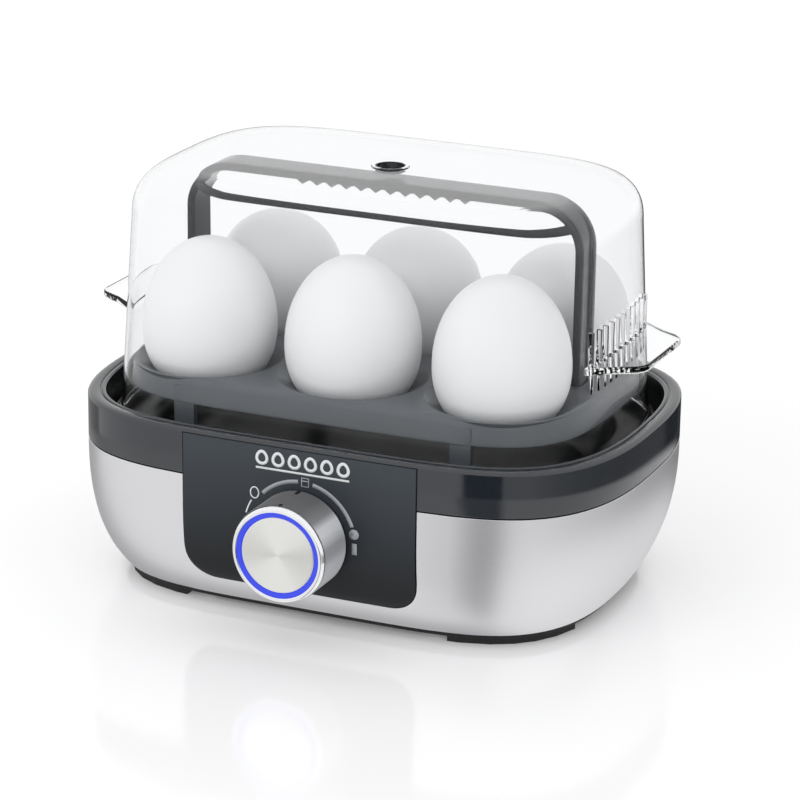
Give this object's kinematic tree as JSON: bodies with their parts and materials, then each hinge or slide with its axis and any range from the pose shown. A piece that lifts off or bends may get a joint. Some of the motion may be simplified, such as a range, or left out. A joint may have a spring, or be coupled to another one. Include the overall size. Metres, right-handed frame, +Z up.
{
  "type": "electric egg cooker",
  "caption": "Electric egg cooker: brushed steel housing, dark collar and control panel with a lit dial, lift-out egg carrier with a handle, and a clear domed lid with side grips.",
  "frame": {"origin": "on the table under the middle of the whole object's box", "axes": "+X to the right seen from the dial side, +Y from the dial side to the cord side, +Z up"},
  "size_m": [0.1928, 0.1552, 0.1369],
  "materials": {
    "steel": "satin brushed",
    "dark_plastic": "satin gloss anthracite",
    "black_plastic": "matte",
    "rubber": "matte",
    "silicone": "matte",
    "non_stick": "non-stick coating",
    "grey_plastic": "fine satin",
    "handle_plastic": "satin",
    "clear_plastic": "clear polished",
    "chrome": "polished",
    "aluminium": "spun",
    "glow_blue": "lit blue diffuser",
    "board_green": "solder mask",
    "dark_sheath": "dark oxide"
  },
  "bodies": {
    "base": {"steel_shell": "steel", "top_collar": "dark_plastic", "control_panel": "dark_plastic", "bottom_plate": "black_plastic", "foot_front_left": "rubber", "foot_front_right": "rubber", "foot_rear_left": "rubber", "foot_rear_right": "rubber", "housing_screw_front_left": "steel", "housing_screw_front_right": "steel", "housing_screw_rear_left": "steel", "housing_screw_rear_right": "steel", "board_screw_1": "steel", "board_screw_2": "steel", "heating_dish": "non_stick", "dish_gasket": "silicone", "heating_element": "dark_sheath", "element_clamp": "steel", "clamp_nut_1": "steel", "clamp_nut_2": "steel", "thermostat": "aluminium", "thermal_fuse": "silicone", "heat_shield": "steel", "power_board": "board_green", "power_relay": "black_plastic", "power_capacitor": "aluminium", "power_terminals": "grey_plastic", "cord_gland": "rubber", "light_guide": "glow_blue", "dial_core": "black_plastic", "control_board": "board_green", "button_switch": "black_plastic", "position_sensor": "black_plastic", "ring_lamp_1": "glow_blue", "ring_lamp_2": "glow_blue", "ring_lamp_3": "glow_blue", "ring_lamp_4": "glow_blue", "buzzer": "black_plastic"},
    "dial": {"dial_ring": "chrome", "code_wheel": "black_plastic"},
    "button": {"start_button": "aluminium"},
    "carrier": {"egg_carrier": "grey_plastic", "carrier_handle": "handle_plastic"},
    "lid": {"lid": "clear_plastic"}
  },
  "joints": [
    {"name": "dial_turn", "type": "hinge", "parent": "base", "child": "dial", "pos_m": [0.0015, -0.06, 0.0322], "axis": [0, 1, 0], "range_deg": [-60, 100]},
    {"name": "button_press", "type": "slide", "parent": "base", "child": "button", "axis": [0, 1, 0], "range_m": [0, 0.0012], "stiffness_N_per_m": 600, "springref_m": -0.0005},
    {"name": "carrier_lift", "type": "slide", "parent": "base", "child": "carrier", "axis": [0, 0, 1], "range_m": [0, 0.06]},
    {"name": "lid_lift", "type": "slide", "parent": "carrier", "child": "lid", "axis": [0, 0, 1], "range_m": [0, 0.085]}
  ]
}
